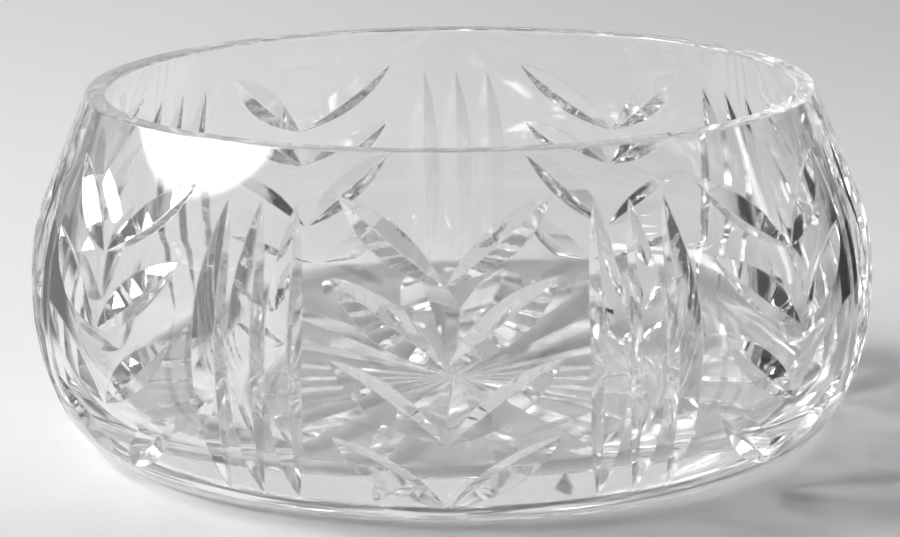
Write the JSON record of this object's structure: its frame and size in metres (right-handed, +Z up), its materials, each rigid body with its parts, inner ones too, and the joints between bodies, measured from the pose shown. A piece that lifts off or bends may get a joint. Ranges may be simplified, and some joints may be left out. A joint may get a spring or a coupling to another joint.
{
  "type": "crystal bowl",
  "caption": "Squat round bowl of clear cut crystal with a bulging belly, a slightly narrower mouth with a flat polished rim, mitre-cut leaves and flutes outside and a star cut under the base.",
  "frame": {"origin": "centre of the flat base, on the surface that the bowl stands on", "axes": "+Z up along the bowl's axis, -Y towards the middle of one leaf panel, +X to the right seen from there"},
  "size_m": [0.2149, 0.2148, 0.089],
  "materials": {
    "crystal": "clear colourless lead crystal, polished to a high gloss inside, outside and in the cuts"
  },
  "bodies": {
    "root": {"bowl": "crystal"}
  },
  "joints": []
}
